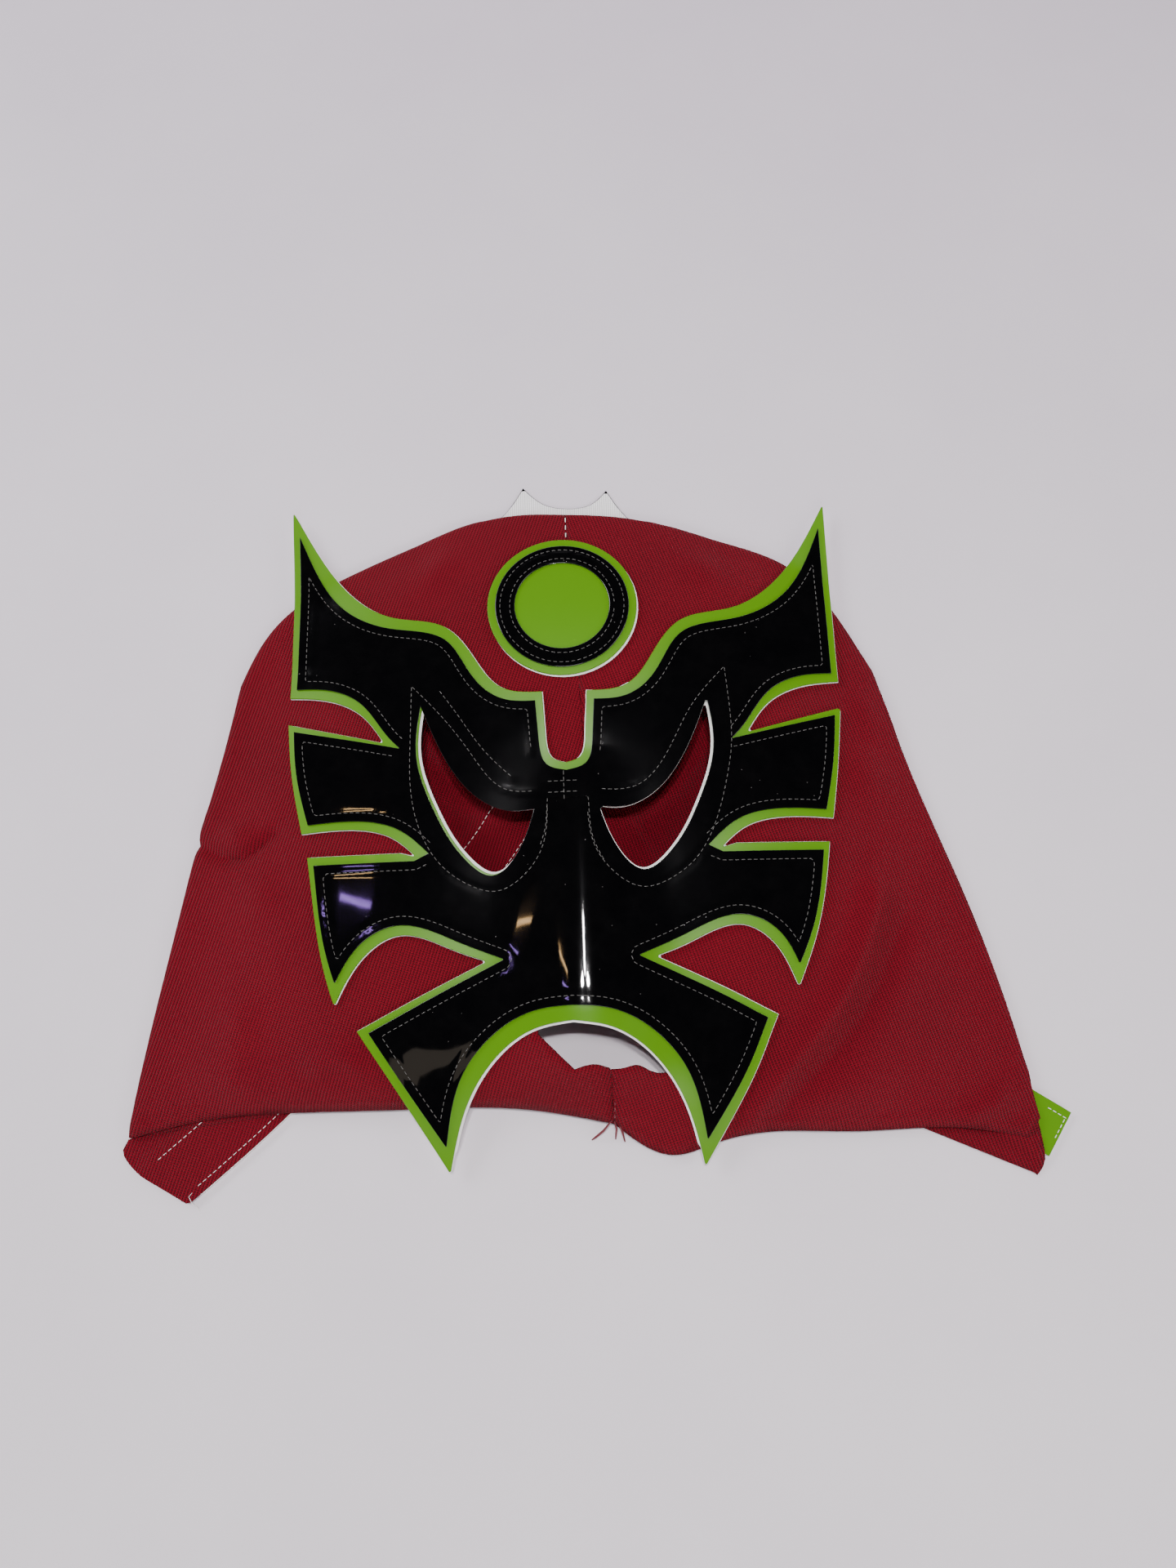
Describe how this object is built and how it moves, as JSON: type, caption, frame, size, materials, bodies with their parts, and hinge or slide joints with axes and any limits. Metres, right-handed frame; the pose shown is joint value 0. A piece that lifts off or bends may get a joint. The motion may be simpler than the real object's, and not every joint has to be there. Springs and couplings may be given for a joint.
{
  "type": "wrestling-style hood mask",
  "caption": "Pull-on red knit hood mask with a layered gloss vinyl face decoration, eye and mouth openings, a forehead disc, a crown crest and a split back with closure strips.",
  "frame": {"origin": "on the surface that the mask lies on, under the centre of the forehead disc", "axes": "+X to the right of the mask as seen from the front, +Y from chin to crown, +Z out of the face"},
  "size_m": [0.3261, 0.259, 0.0254],
  "materials": {
    "red_knit": "matt polyester knit with a faint sheen",
    "green_vinyl": "glossy",
    "black_patent": "mirror-gloss patent",
    "white_backing": "matt stiff felt-like backing",
    "white_rib": "ribbed knit",
    "tape": "hook and loop tape",
    "thread": "polyester thread",
    "red_thread": "polyester thread"
  },
  "bodies": {
    "hood": {"front_left_panel": "red_knit", "front_right_panel": "red_knit", "back_left_panel": "red_knit", "back_right_panel": "red_knit", "left_strip_loop_tape": "tape", "left_strip_backing": "white_backing", "left_strip_thread": "thread", "right_strip_hook_tape": "tape", "right_strip_backing": "white_backing", "right_strip_vinyl": "green_vinyl", "crest_face": "black_patent", "crest_backing": "white_rib", "face_backing": "white_backing", "face_base": "green_vinyl", "face_overlay": "black_patent", "bridge_patch": "black_patent", "disc_backing": "white_backing", "disc_base": "green_vinyl", "disc_ring": "black_patent", "disc_thread": "thread", "border_thread": "thread", "eye_thread": "thread", "bridge_thread": "thread", "crown_thread": "thread", "chin_thread": "red_thread"},
    "left_corner": {"corner_cloth": "red_knit", "corner_strip_loop_tape": "tape", "corner_strip_backing": "white_backing", "corner_strip_thread": "thread"},
    "right_tab": {"tab_hook_tape": "tape", "tab_backing": "white_backing", "tab_vinyl": "green_vinyl", "tab_thread": "thread"}
  },
  "joints": [
    {"name": "left_corner_fold", "type": "hinge", "parent": "hood", "child": "left_corner", "pos_m": [-0.157, -0.1886, 0.0022], "axis": [-0.993, -0.1178, 0], "range_deg": [0, 100]},
    {"name": "right_tab_fold", "type": "hinge", "parent": "hood", "child": "right_tab", "pos_m": [0.1615, -0.172, 0.0019], "axis": [0.0624, -0.9981, 0], "range_deg": [0, 100]}
  ]
}
